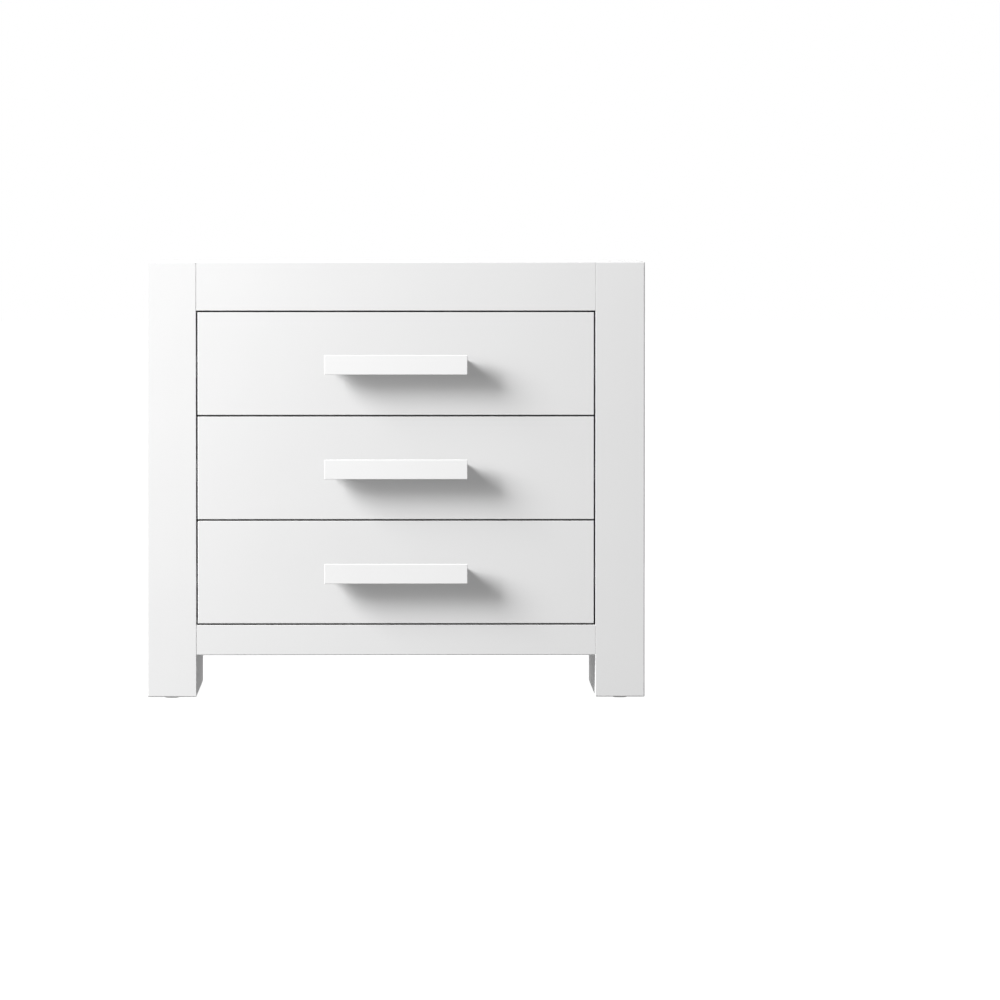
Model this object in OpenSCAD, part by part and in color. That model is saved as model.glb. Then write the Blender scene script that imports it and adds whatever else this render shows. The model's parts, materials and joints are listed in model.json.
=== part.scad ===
// Three-drawer dresser at changing-table height. A chunky box frame of two hollow side slabs,
// a deep top and a bottom rail holds three inset drawers with slab handles.
// Units are millimetres: +X to the right, +Y to the back, +Z up. The origin is on the floor,
// in the middle of the overall width and of the overall depth, handles included.

/* [Overall] */
// Overall width across the side slabs
width = 1050; // [960:10:1150]
// Overall height from the floor to the top
height = 920; // [880:10:980]
// Depth of the carcass, without the handles
depth = 550; // [540:10:600]

/* [Frame] */
// Width of a side slab, seen from the front
side_w = 104; // [90:2:120]
// Height of the top rail
top_rail_h = 103; // [95:1:120]
// Height of the bottom rail
bottom_rail_h = 64; // [58:1:80]
// Clear height under the bottom rail
leg_h = 90; // [80:2:110]
// Thickness of the top, of its front rail and of the rear rails
board_t = 22; // [22:1:25]
// Thickness of the posts, from front to back
stile_t = 36; // [34:1:40]
// Thickness of the skins of the side slabs
skin_t = 12; // [12:1:15]
// Thickness of the bottom panel
floor_t = 18; // [18:1:20]
// Thickness of the back panel
back_t = 6; // [5:0.5:8]
// Radius of the outer arrises of the frame
outer_r = 2.5; // [1:0.5:4]
// Radius of the arrises round the drawers and of the handles
ease_r = 1; // [0.5:0.1:2]
// Width of the fine line between a post and the end of a front rail
joint_w = 0.4; // [0.2:0.1:1]
// Depth of that line
joint_depth = 2; // [1:0.5:4]

/* [Drawers] */
// Gap around each drawer front
gap = 3.4; // [2:0.1:4]
// Thickness of a drawer front
front_t = 18; // [18:1:20]
// Height of the drawer box
box_h = 165; // [150:5:175]
// Length of the drawer box and of its slides
box_len = 450; // [400:50:450]
// Thickness of the sides and back of the box
box_t = 12; // [12:0.5:13]
// Space between the side slab and the box, taken up by the slide
slide_gap = 13; // [12.8:0.1:13.5]

/* [Handles] */
// Length of the handle bar
handle_len = 301; // [260:1:400]
// Height of the handle bar
handle_h = 41; // [30:1:50]
// Thickness of the handle bar
handle_t = 18; // [16:1:22]
// Space between the bar and the drawer front
handle_standoff = 28; // [22:1:32]
// Height of the strip that holds the bar off the drawer front
strip_h = 13; // [10:1:15]
// How far the strip lies below the top of the bar
strip_drop = 11; // [8:1:13]
// Distance between the two handle screws
handle_pitch = 192; // [128:32:224]
// How far the handle sits below the middle of the drawer front
handle_drop = 2; // [0:0.5:10]

/* [Wall anchors] */
// Distance between the two anchor holes in the back
anchor_pitch = 600; // [500:20:640]
// Diameter of the anchor holes
anchor_d = 6.5; // [5.5:0.1:7]

/* [Hidden] */
$fn = 48;
DRAWERS = [1, 2, 3];
SLAB_NODES = ["front_stile", "rear_stile", "outer_panel", "inner_panel", "core_rails", "top_cap"];
DRAWER_NODES = ["front", "left_side", "right_side", "back", "bottom", "handle_bar", "handle_strip",
                "connectors", "screws", "middle_rails", "drawer_rails"];

lacquer = "white";
board_white = "whitesmoke";
steel = "silver";
timber = "burlywood";
plastic = "dimgray";

// Room round a pin in its hole, so that the two solids stay apart
pin_room = 0.05;

// Planes of the carcass
half_w = width / 2;
inner_x = half_w - side_w;
handle_out = handle_standoff + handle_t;
front_y = handle_out - (depth + handle_out) / 2;
rear_y = front_y + depth;
glide_h = 2;
base_z = glide_h;
cap_z = height - board_t;
opening_top = height - top_rail_h;
opening_bottom = leg_h + bottom_rail_h;
floor_z = opening_bottom - floor_t;
lower_panel_t = 12;
rebate_w = 10;
rail_back_y = rear_y - back_t;
rear_rail_y = rail_back_y - board_t;
skin_y = [front_y + stile_t, rear_y - stile_t];

// Planes of the drawers
front_h = (opening_top - opening_bottom - (len(DRAWERS) + 1) * gap) / len(DRAWERS);
front_half = inner_x - gap;
box_y = front_y + front_t;
box_back_y = box_y + box_len;
box_half = inner_x - slide_gap;
box_raise = 20;
bottom_t = 5;
bottom_raise = 8;
groove = 6;
function front_z(i) = opening_bottom + gap + (len(DRAWERS) - i) * (front_h + gap);
function box_z(i) = front_z(i) + box_raise;
function handle_z(i) = front_z(i) + front_h / 2 - handle_drop;
function strip_z(i) = handle_z(i) + handle_h / 2 - strip_drop - strip_h;
function slide_z(i) = box_z(i) + box_h / 2;

// Crosspieces between the skins of a side slab: at the base, behind each slide and at the top
core_h = 36;
core_z = concat([base_z], [for (i = DRAWERS) slide_z(i) - core_h / 2], [cap_z - core_h]);

// Cam locks: a bolt along X in the thickness of the board, and a cam let in from one face
cam_r = 7.5;
cam_past_bolt = 3.5;
cam_set_back = 34;
bolt_r = 3;
bolt_grip = 11;
top_cams = [for (y = [-150, 150]) [y, height - board_t / 2]];
floor_cams = [for (y = [-180, 20, 220]) [y, floor_z + floor_t / 2]];
front_rail_cams = [[front_y + board_t / 2, opening_top + 40], [front_y + board_t / 2, leg_h + 31]];
rear_rail_cams = [[rail_back_y - board_t / 2, opening_top + 40], [rail_back_y - board_t / 2, leg_h + 22]];

// Dowels along X, half in each board
dowel_r = 4;
dowel_half = 15;
top_dowels = [for (y = [-210, 0, 210]) [y, height - board_t / 2]];
top_front_dowels = [for (z = [21, 63]) [front_y + board_t / 2, opening_top + z]];
bottom_front_dowels = [for (z = [12, 50]) [front_y + board_t / 2, leg_h + z]];
top_rear_dowels = [for (z = [18, 63]) [rail_back_y - board_t / 2, opening_top + z]];
bottom_rear_dowels = [for (z = [8, 36]) [rail_back_y - board_t / 2, leg_h + z]];

// Countersunk screws of the back panel and of the wall anchor plates
screw_r = 1.75;
screw_head_r = 3.5;
screw_head_h = 2;
back_screw_len = 16;
anchor_z = opening_top + 40;
anchor_plate = [72, 24, 2];
anchor_screw_x = 25;
back_screw_points = concat(
    [for (s = [-1, 1], k = [0:4])
        [s * (inner_x + rebate_w / 2), leg_h + 60 + k * (cap_z - leg_h - 170) / 4]],
    [for (x = [-200, 0, 200]) [x, cap_z - 24]],
    [for (x = [-200, 0, 200]) [x, leg_h + 22]],
    [for (s = [-1, 1], t = [-1, 1]) [s * anchor_pitch / 2 + t * anchor_screw_x, anchor_z]]
);

// Glides: a disc with a nail, one at each end of both side slabs
glide_r = 15;
glide_nail_r = 2;
glide_nail_len = 14;
glide_points = [for (s = [-1, 1], y = [front_y + stile_t / 2, rear_y - stile_t / 2])
    [s * (half_w - side_w / 2), y]];

// Slide members. Sizes across are measured from the face of the side slab, sizes up and down
// from the middle of the slide.
rail_t = 1.2;
slide_y = [front_y + 22, front_y + 22 + box_len];
middle_y = [slide_y[0] + 2, slide_y[1] - 2];
cabinet_rail = [0, 9.5, 22.5];
middle_rail = [3.2, 11, 18.1];
drawer_rail = [slide_gap, slide_gap - 7.4, 13.7];
lip = 1.3;
slide_screw_y = [slide_y[0] + 35, slide_y[0] + 190, slide_y[1] - 50];
slide_head_h = 1.4;
slide_head_r = 3.4;
slide_screw_len = 14.5;
drawer_screw_len = 9;

// Handle screws, from inside the drawer
handle_screw_r = 2;
handle_screw_grip = 10;
handle_head_r = 4;
handle_head_h = 2.2;

// Screws and cam locks of the drawer box
box_fix_z = [40, 125];
box_screw_len = 35;
box_cam_depth = 9;
box_cam_set_back = 24;
box_bolt_r = 2.5;
box_bolt_grip = 11;

// ---------------------------------------------------------------------------------------------
// Building blocks

module block(lo, hi) { translate(lo) cube(hi - lo); }

module extrude_x(x0, x1) { translate([x0, 0, 0]) rotate([90, 0, 90]) linear_extrude(x1 - x0) children(); }

module extrude_y(y0, y1) { translate([0, y1, 0]) rotate([90, 0, 0]) linear_extrude(y1 - y0) children(); }

module extrude_z(z0, z1) { translate([0, 0, z0]) linear_extrude(z1 - z0) children(); }

module rod_x(x0, x1, y, z, r) { translate([x0, y, z]) rotate([0, 90, 0]) cylinder(h = x1 - x0, r = r); }

module rod_y(x, y0, y1, z, r) { translate([x, y1, z]) rotate([90, 0, 0]) cylinder(h = y1 - y0, r = r); }

// Rectangle with rounded corners of the given radii, in the order low-low, high-low, high-high, low-high
module eased(lo, hi, radii) {
    corners = [lo, [hi[0], lo[1]], hi, [lo[0], hi[1]]];
    inward = [[1, 1], [-1, 1], [-1, -1], [1, -1]];
    difference() {
        translate(lo) square(hi - lo);
        for (k = [0:3]) if (radii[k] > 0)
            translate(corners[k]) difference() {
                square(2 * radii[k], center = true);
                translate(inward[k] * radii[k]) circle(radii[k]);
            }
    }
}

// Board whose arrises are eased as seen from above and from the side, where plan and side say 1
module eased_board(lo, hi, plan, side) {
    intersection() {
        extrude_z(lo[2], hi[2]) eased([lo[0], lo[1]], [hi[0], hi[1]], ease_r * plan);
        extrude_x(lo[0], hi[0]) eased([lo[1], lo[2]], [hi[1], hi[2]], ease_r * side);
    }
}

// Cut at the right end of a front rail for the fine line between it and the post
module joint_line() {
    block([inner_x - joint_w, front_y - 1, leg_h - 1], [inner_x + 1, front_y + joint_depth, height + 1]);
}

// Draws its children on the right and mirrored on the left
module both_sides() {
    children();
    mirror([1, 0, 0]) children();
}

// ---------------------------------------------------------------------------------------------
// Fasteners. Each takes its room, which is 0 for the piece and pin_room for its hole.

module dowels(points, room = 0) {
    reach = dowel_half + room;
    for (p = points) rod_x(inner_x - reach, inner_x + reach, p[0], p[1], dowel_r + room);
}

module bolts(points, room = 0) {
    for (p = points)
        rod_x(inner_x - cam_set_back - room, inner_x + bolt_grip + room, p[0], p[1], bolt_r + room);
}

// A cam's mouth opens down from a panel, to the back from a front rail, to the front from a rear rail
module cams(points, mouth, half_t, room = 0) {
    turn = mouth == "down" ? [0, 0, 0] : mouth == "back" ? [90, 0, 0] : [-90, 0, 0];
    for (p = points)
        translate([inner_x - cam_set_back, p[0], p[1]]) rotate(turn) translate([0, 0, -half_t - sign(room)])
            cylinder(h = half_t + sign(room) + cam_past_bolt + room, r = cam_r + room);
}

module cam_lock(points, mouth, half_t) {
    bolts(points);
    difference() {
        cams(points, mouth, half_t);
        bolts(points, pin_room);
    }
}

module cam_lock_holes(points, mouth, half_t) {
    bolts(points, pin_room);
    cams(points, mouth, half_t, pin_room);
}

// Countersunk screw that runs towards -Y from a face at y
module back_screw(x, y, z, room = 0) {
    rod_y(x, y - back_screw_len - room, y, z, screw_r + room);
    translate([x, y, z]) rotate([90, 0, 0])
        cylinder(h = screw_head_h + room, r1 = screw_head_r + room, r2 = screw_r + room);
}

module back_screws_at(points, room = 0) {
    for (p = points) back_screw(p[0], rear_y, p[1], room);
}

module glides_at(points, room = 0) {
    for (p = points) translate([p[0], p[1], 0]) {
        if (room == 0) cylinder(h = glide_h, r = glide_r);
        cylinder(h = glide_h + glide_nail_len + room, r = glide_nail_r + room);
    }
}

// Holes for the cabinet's slide screws, through the right inner skin and into the core
module slide_screw_holes() {
    for (i = DRAWERS, y = slide_screw_y)
        rod_x(inner_x - 1, inner_x + slide_screw_len, y, slide_z(i), screw_r + pin_room);
}

// ---------------------------------------------------------------------------------------------
// Side slabs, drawn on the right and mirrored for the left

// Outline of the whole carcass from the side
module carcass_side() { eased([front_y, base_z], [rear_y, height], outer_r * [1, 1, 1, 1]); }

// Outline of a side slab from the front
module slab_front() { eased([inner_x, base_z], [half_w, height], [outer_r, outer_r, outer_r, ease_r]); }

module front_stile() {
    profile = [[front_y, base_z], [front_y, height], [front_y + board_t, cap_z],
               [front_y + stile_t, cap_z], [front_y + stile_t, base_z]];
    color(lacquer) difference() {
        intersection() {
            extrude_x(inner_x, half_w) intersection() {
                carcass_side();
                polygon(profile);
            }
            extrude_z(base_z, height)
                eased([inner_x, front_y], [half_w, front_y + stile_t], [ease_r, outer_r, 0, 0]);
            extrude_y(front_y, front_y + stile_t) slab_front();
        }
        dowels(concat(top_front_dowels, bottom_front_dowels), pin_room);
        bolts(front_rail_cams, pin_room);
        glides_at(glide_points, pin_room);
    }
}

module rear_stile() {
    color(lacquer) difference() {
        intersection() {
            extrude_z(base_z, cap_z)
                eased([inner_x, rear_y - stile_t], [half_w, rear_y], [0, 0, outer_r, 0]);
            extrude_y(rear_y - stile_t, rear_y) slab_front();
            extrude_x(inner_x, half_w) carcass_side();
        }
        block([inner_x - 1, rail_back_y, leg_h], [inner_x + rebate_w, rear_y + 1, cap_z + 1]);
        dowels(concat(top_rear_dowels, bottom_rear_dowels), pin_room);
        bolts(rear_rail_cams, pin_room);
        back_screws_at(back_screw_points, pin_room);
        glides_at(glide_points, pin_room);
    }
}

module outer_panel() {
    color(lacquer) extrude_y(skin_y[0], skin_y[1])
        eased([half_w - skin_t, base_z], [half_w, cap_z], [0, outer_r, 0, 0]);
}

module inner_panel() {
    color(lacquer) difference() {
        extrude_y(skin_y[0], skin_y[1])
            eased([inner_x, base_z], [inner_x + skin_t, cap_z], [outer_r, 0, 0, 0]);
        bolts(floor_cams, pin_room);
        slide_screw_holes();
    }
}

module core_rails() {
    color(timber) difference() {
        for (z = core_z)
            block([inner_x + skin_t, skin_y[0], z], [half_w - skin_t, skin_y[1], z + core_h]);
        slide_screw_holes();
    }
}

module top_cap() {
    profile = [[front_y, height], [rear_y, height], [rear_y, cap_z], [front_y + board_t, cap_z]];
    color(lacquer) difference() {
        intersection() {
            extrude_x(inner_x, half_w) intersection() {
                carcass_side();
                polygon(profile);
            }
            extrude_y(front_y, rear_y) slab_front();
        }
        dowels(top_dowels, pin_room);
        bolts(top_cams, pin_room);
    }
}

module slab_piece(name) {
    if (name == "front_stile") front_stile();
    if (name == "rear_stile") rear_stile();
    if (name == "outer_panel") outer_panel();
    if (name == "inner_panel") inner_panel();
    if (name == "core_rails") core_rails();
    if (name == "top_cap") top_cap();
}

// ---------------------------------------------------------------------------------------------
// Top, bottom and back

module top_panel() {
    profile = [[front_y, height], [rear_y, height], [rear_y, cap_z], [front_y + board_t, cap_z]];
    color(lacquer) difference() {
        intersection() {
            extrude_x(-inner_x, inner_x) intersection() {
                carcass_side();
                polygon(profile);
            }
            extrude_y(front_y, rear_y)
                eased([-inner_x, cap_z], [inner_x, height], [0, 0, ease_r, ease_r]);
        }
        both_sides() {
            dowels(top_dowels, pin_room);
            cam_lock_holes(top_cams, "down", board_t / 2);
        }
    }
}

module top_front_rail() {
    profile = [[front_y, opening_top], [front_y, height], [front_y + board_t, cap_z],
               [front_y + board_t, opening_top]];
    color(lacquer) difference() {
        extrude_x(-inner_x, inner_x) intersection() {
            eased([front_y, opening_top], [rear_y, height], [ease_r, 0, 0, outer_r]);
            polygon(profile);
        }
        both_sides() {
            joint_line();
            dowels(top_front_dowels, pin_room);
            cam_lock_holes([front_rail_cams[0]], "back", board_t / 2);
        }
    }
}

module top_rear_rail() {
    color(lacquer) difference() {
        block([-inner_x, rear_rail_y, opening_top], [inner_x, rail_back_y, cap_z]);
        both_sides() {
            dowels(top_rear_dowels, pin_room);
            cam_lock_holes([rear_rail_cams[0]], "front", board_t / 2);
        }
        back_screws_at(back_screw_points, pin_room);
        anchor_holes(rear_rail_y - 1);
    }
}

module top_lower_panel() {
    color(lacquer) block([-inner_x, front_y + board_t, opening_top],
                         [inner_x, rear_rail_y, opening_top + lower_panel_t]);
}

module bottom_front_rail() {
    color(lacquer) difference() {
        extrude_x(-inner_x, inner_x)
            eased([front_y, leg_h], [front_y + board_t, opening_bottom], [outer_r, 0, 0, ease_r]);
        both_sides() {
            joint_line();
            dowels(bottom_front_dowels, pin_room);
            cam_lock_holes([front_rail_cams[1]], "back", board_t / 2);
        }
    }
}

module bottom_panel() {
    color(lacquer) difference() {
        block([-inner_x, front_y + board_t, floor_z], [inner_x, rail_back_y, opening_bottom]);
        both_sides() cam_lock_holes(floor_cams, "down", floor_t / 2);
    }
}

module bottom_rear_rail() {
    color(lacquer) difference() {
        block([-inner_x, rear_rail_y, leg_h], [inner_x, rail_back_y, floor_z]);
        both_sides() {
            dowels(bottom_rear_dowels, pin_room);
            cam_lock_holes([rear_rail_cams[1]], "front", board_t / 2);
        }
        back_screws_at(back_screw_points, pin_room);
    }
}

// The two anchor plates without their holes, reaching back to y1
module anchor_plate_blocks(y1) {
    for (s = [-1, 1]) translate([s * anchor_pitch / 2, 0, anchor_z])
        block([-anchor_plate[0] / 2, rear_y - anchor_plate[2], -anchor_plate[1] / 2],
              [anchor_plate[0] / 2, y1, anchor_plate[1] / 2]);
}

module anchor_holes(y0) {
    for (s = [-1, 1]) rod_y(s * anchor_pitch / 2, y0, rear_y + 1, anchor_z, anchor_d / 2 + 0.25);
}

module back_panel() {
    half = inner_x + rebate_w;
    color(board_white) difference() {
        block([-half, rail_back_y, leg_h], [half, rear_y, cap_z]);
        back_screws_at(back_screw_points, pin_room);
        anchor_plate_blocks(rear_y + 1);
        anchor_holes(rail_back_y - 1);
    }
}

// ---------------------------------------------------------------------------------------------
// Fittings of the carcass

module carcass_connectors() {
    color(steel) both_sides() {
        cam_lock(top_cams, "down", board_t / 2);
        cam_lock(floor_cams, "down", floor_t / 2);
        cam_lock(front_rail_cams, "back", board_t / 2);
        cam_lock(rear_rail_cams, "front", board_t / 2);
    }
}

module carcass_dowels() {
    color(timber) both_sides()
        dowels(concat(top_dowels, top_front_dowels, bottom_front_dowels, top_rear_dowels,
                      bottom_rear_dowels));
}

module back_screws() { color(steel) back_screws_at(back_screw_points); }

module floor_glides() { color(plastic) glides_at(glide_points); }

module wall_anchor_plates() {
    color(steel) difference() {
        anchor_plate_blocks(rear_y);
        for (s = [-1, 1]) rod_y(s * anchor_pitch / 2, rail_back_y, rear_y + 1, anchor_z, anchor_d / 2);
        back_screws_at(back_screw_points, pin_room);
    }
}

// ---------------------------------------------------------------------------------------------
// Slides

// Channel seen along the slide: web, two flanges and their lips. across is [web side, lip side,
// half height], measured from the side slab; the lips turn inward.
module channel(across, z) {
    dir = across[1] > across[0] ? 1 : -1;
    half = across[2];
    spans = [
        [[across[0], -half], [across[0] + dir * rail_t, half]],
        [[across[0], half - rail_t], [across[1], half]],
        [[across[0], -half], [across[1], rail_t - half]],
        [[across[1] - dir * rail_t, half - rail_t - lip], [across[1], half]],
        [[across[1] - dir * rail_t, -half], [across[1], rail_t + lip - half]]
    ];
    for (s = spans) {
        u = [min(s[0][0], s[1][0]), max(s[0][0], s[1][0])];
        translate([inner_x - u[1], z + s[0][1]]) square([u[1] - u[0], s[1][1] - s[0][1]]);
    }
}

module cabinet_slide_rails() {
    color(steel) both_sides() for (i = DRAWERS) difference() {
        extrude_y(slide_y[0], slide_y[1]) channel(cabinet_rail, slide_z(i));
        for (y = slide_screw_y) rod_x(inner_x - 5, inner_x + 1, y, slide_z(i), screw_r + pin_room);
    }
}

module cabinet_slide_screws() {
    color(steel) both_sides() for (i = DRAWERS, y = slide_screw_y) {
        rod_x(inner_x - rail_t - slide_head_h, inner_x - rail_t, y, slide_z(i), slide_head_r);
        rod_x(inner_x - rail_t - slide_head_h, inner_x + slide_screw_len - pin_room, y, slide_z(i), screw_r);
    }
}

module middle_rails(i) {
    color(steel) both_sides() extrude_y(middle_y[0], middle_y[1]) channel(middle_rail, slide_z(i));
}

module drawer_rails(i) {
    color(steel) both_sides() difference() {
        extrude_y(slide_y[0], slide_y[1]) channel(drawer_rail, slide_z(i));
        for (y = slide_screw_y) rod_x(box_half - 1, box_half + 3, y, slide_z(i), screw_r + pin_room);
    }
}

// ---------------------------------------------------------------------------------------------
// Drawers

// Screws from the slide member into the side, and from the side into the back
module side_screws(i, room = 0) {
    for (y = slide_screw_y)
        rod_x(box_half - drawer_screw_len - room, box_half + rail_t + slide_head_h, y, slide_z(i),
              screw_r + room);
    for (z = box_fix_z) {
        y = box_back_y - box_t / 2;
        rod_x(box_half - box_screw_len - room, box_half, y, box_z(i) + z, screw_r + room);
        translate([box_half, y, box_z(i) + z]) rotate([0, -90, 0])
            cylinder(h = screw_head_h + room, r1 = screw_head_r + room, r2 = screw_r + room);
    }
}

module slide_screw_heads(i) {
    for (y = slide_screw_y)
        rod_x(box_half + rail_t, box_half + rail_t + slide_head_h, y, slide_z(i), slide_head_r);
}

module handle_screws(i, room = 0) {
    for (s = [-1, 1])
        rod_y(s * handle_pitch / 2, front_y - handle_standoff - handle_screw_grip - room, box_y,
              strip_z(i) + strip_h / 2, handle_screw_r + room);
}

module handle_screw_heads(i) {
    for (s = [-1, 1])
        rod_y(s * handle_pitch / 2, box_y, box_y + handle_head_h, strip_z(i) + strip_h / 2, handle_head_r);
}

// Cam locks of the right side: a bolt along Y from the front, and a cam let in from inside
module box_bolts(i, room = 0) {
    for (z = box_fix_z)
        rod_y(box_half - box_t / 2, box_y - box_bolt_grip - room, box_y + box_cam_set_back + room,
              box_z(i) + z, box_bolt_r + room);
}

module box_cams(i, room = 0) {
    for (z = box_fix_z)
        rod_x(box_half - box_t, box_half - box_t + box_cam_depth + room, box_y + box_cam_set_back,
              box_z(i) + z, cam_r + room);
}

// Bottom panel, let into a groove in all four walls
module bottom_slab(i) {
    half = box_half - box_t + groove;
    z = box_z(i) + bottom_raise;
    block([-half, box_y - groove, z], [half, box_back_y - box_t + groove, z + bottom_t]);
}

module drawer_front(i) {
    color(lacquer) difference() {
        eased_board([-front_half, front_y, front_z(i)], [front_half, box_y, front_z(i) + front_h],
                    [1, 1, 0, 0], [1, 0, 0, 1]);
        handle_screws(i, pin_room);
        both_sides() box_bolts(i, pin_room);
        bottom_slab(i);
    }
}

module drawer_side(i) {
    color(board_white) difference() {
        block([box_half - box_t, box_y, box_z(i)], [box_half, box_back_y, box_z(i) + box_h]);
        bottom_slab(i);
        side_screws(i, pin_room);
        box_bolts(i, pin_room);
        box_cams(i, pin_room);
    }
}

module drawer_back(i) {
    color(board_white) difference() {
        block([box_t - box_half, box_back_y - box_t, box_z(i)],
              [box_half - box_t, box_back_y, box_z(i) + box_h]);
        bottom_slab(i);
        both_sides() side_screws(i, pin_room);
    }
}

module drawer_bottom(i) { color(board_white) bottom_slab(i); }

module handle_bar(i) {
    bar_y = [front_y - handle_out, front_y - handle_standoff];
    z = [handle_z(i) - handle_h / 2, handle_z(i) + handle_h / 2];
    color(lacquer) difference() {
        eased_board([-handle_len / 2, bar_y[0], z[0]], [handle_len / 2, bar_y[1], z[1]],
                    [1, 1, 1, 1], [1, 1, 1, 1]);
        handle_screws(i, pin_room);
    }
}

// Strip behind the bar, over its whole length. The fingers reach in above and below it.
module handle_strip(i) {
    color(lacquer) difference() {
        block([-handle_len / 2, front_y - handle_standoff, strip_z(i)],
              [handle_len / 2, front_y, strip_z(i) + strip_h]);
        handle_screws(i, pin_room);
    }
}

module drawer_connectors(i) {
    color(steel) both_sides() {
        box_bolts(i);
        difference() {
            box_cams(i);
            box_bolts(i, pin_room);
        }
    }
}

module drawer_screws(i) {
    color(steel) {
        handle_screws(i);
        handle_screw_heads(i);
        both_sides() {
            side_screws(i);
            slide_screw_heads(i);
        }
    }
}

module drawer_piece(i, name) {
    if (name == "front") drawer_front(i);
    if (name == "left_side") mirror([1, 0, 0]) drawer_side(i);
    if (name == "right_side") drawer_side(i);
    if (name == "back") drawer_back(i);
    if (name == "bottom") drawer_bottom(i);
    if (name == "handle_bar") handle_bar(i);
    if (name == "handle_strip") handle_strip(i);
    if (name == "connectors") drawer_connectors(i);
    if (name == "screws") drawer_screws(i);
    if (name == "middle_rails") middle_rails(i);
    if (name == "drawer_rails") drawer_rails(i);
}

for (name = SLAB_NODES) {
    mirror([1, 0, 0]) slab_piece(name);
    slab_piece(name);
}
top_panel();
top_front_rail();
top_rear_rail();
top_lower_panel();
bottom_front_rail();
bottom_panel();
bottom_rear_rail();
back_panel();
carcass_connectors();
carcass_dowels();
back_screws();
floor_glides();
wall_anchor_plates();
cabinet_slide_rails();
cabinet_slide_screws();
for (i = DRAWERS, name = DRAWER_NODES)
    drawer_piece(i, name);
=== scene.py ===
"""Looks of the three-drawer dresser: camera, light, materials and fine pieces where the CAD is plain."""
import json
import math

import bmesh
import bpy
from mathutils import Matrix, Vector


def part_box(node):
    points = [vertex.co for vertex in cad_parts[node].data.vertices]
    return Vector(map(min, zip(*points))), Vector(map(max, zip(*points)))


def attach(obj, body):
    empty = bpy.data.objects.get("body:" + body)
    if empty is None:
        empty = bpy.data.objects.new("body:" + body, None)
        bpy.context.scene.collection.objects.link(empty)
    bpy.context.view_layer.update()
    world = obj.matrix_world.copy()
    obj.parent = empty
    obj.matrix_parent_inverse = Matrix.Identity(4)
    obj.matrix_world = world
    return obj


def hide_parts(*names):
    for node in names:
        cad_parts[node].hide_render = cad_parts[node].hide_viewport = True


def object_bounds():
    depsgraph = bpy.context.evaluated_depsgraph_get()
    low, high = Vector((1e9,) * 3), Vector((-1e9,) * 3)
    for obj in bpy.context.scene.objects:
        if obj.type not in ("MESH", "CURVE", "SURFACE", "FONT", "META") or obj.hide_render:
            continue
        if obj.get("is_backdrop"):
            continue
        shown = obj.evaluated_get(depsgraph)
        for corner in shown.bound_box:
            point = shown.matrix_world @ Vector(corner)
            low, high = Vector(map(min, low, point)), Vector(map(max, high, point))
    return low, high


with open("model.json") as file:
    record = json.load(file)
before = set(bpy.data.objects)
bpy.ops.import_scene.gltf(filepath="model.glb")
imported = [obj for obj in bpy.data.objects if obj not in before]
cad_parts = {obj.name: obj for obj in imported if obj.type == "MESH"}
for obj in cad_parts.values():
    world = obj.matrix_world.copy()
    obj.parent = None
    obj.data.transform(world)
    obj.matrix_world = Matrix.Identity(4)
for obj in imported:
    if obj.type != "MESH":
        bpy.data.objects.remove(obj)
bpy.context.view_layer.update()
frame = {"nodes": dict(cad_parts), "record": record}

MM = 0.001
DRAWERS = (1, 2, 3)


def placed(name, data):
    """A new object of the scene that shows data."""
    obj = bpy.data.objects.new(name, data)
    bpy.context.scene.collection.objects.link(obj)
    return obj


# ------------------------------------------------------------------------------------------------
# Camera: a long lens far in front of the dresser, a little higher than its top

FRONT_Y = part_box("drawer_1_front")[0].y
CAMERA_DISTANCE = 15.6
CAMERA_HEIGHT = 1.0
VIEW_WIDTH = 2.1093
VIEW_CENTRE = Vector((0.2195, FRONT_Y, 0.4177))
SENSOR = 36.0
FAR_CLIP = 200


def make_camera():
    data = bpy.data.cameras.new("camera")
    data.sensor_width = SENSOR
    data.clip_end = FAR_CLIP
    camera = placed("camera", data)
    camera.location = (0, FRONT_Y - CAMERA_DISTANCE, CAMERA_HEIGHT)
    look = VIEW_CENTRE - camera.location
    data.lens = SENSOR * look.length / VIEW_WIDTH
    camera.rotation_euler = look.to_track_quat("-Z", "Y").to_euler()
    bpy.context.scene.camera = camera


# ------------------------------------------------------------------------------------------------
# Light and floor

def aim(obj, target):
    obj.rotation_euler = (Vector(target) - obj.location).to_track_quat("-Z", "Y").to_euler()


def softbox(name, place, target, width, height, power):
    data = bpy.data.lights.new(name, "AREA")
    data.shape = "RECTANGLE"
    data.size = width
    data.size_y = height
    data.energy = power
    lamp = placed(name, data)
    lamp.location = place
    lamp.visible_camera = False
    aim(lamp, target)


TARGET = Vector((0, FRONT_Y, 0.46))
SOFTBOXES = {
    # name: degrees to the left of the front, degrees up, distance from the target, width, height, power
    "key": (66, 29, 8.9, 3.1, 4.2, 1150),
    "near_key": (58.5, 21, 3.9, 2.5, 2.3, 66),
    "left": (112, 12, 6.0, 2.5, 2.5, 85),
    "right": (-112, 12, 6.0, 2.5, 2.5, 85),
    "rear": (172, 14, 6.0, 3.0, 2.5, 92),
}
OVERHEAD_PLACE = Vector((0, FRONT_Y + 1.2, 3.6))
OVERHEAD_SIZE, OVERHEAD_POWER = (3.0, 2.0), 60


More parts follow.
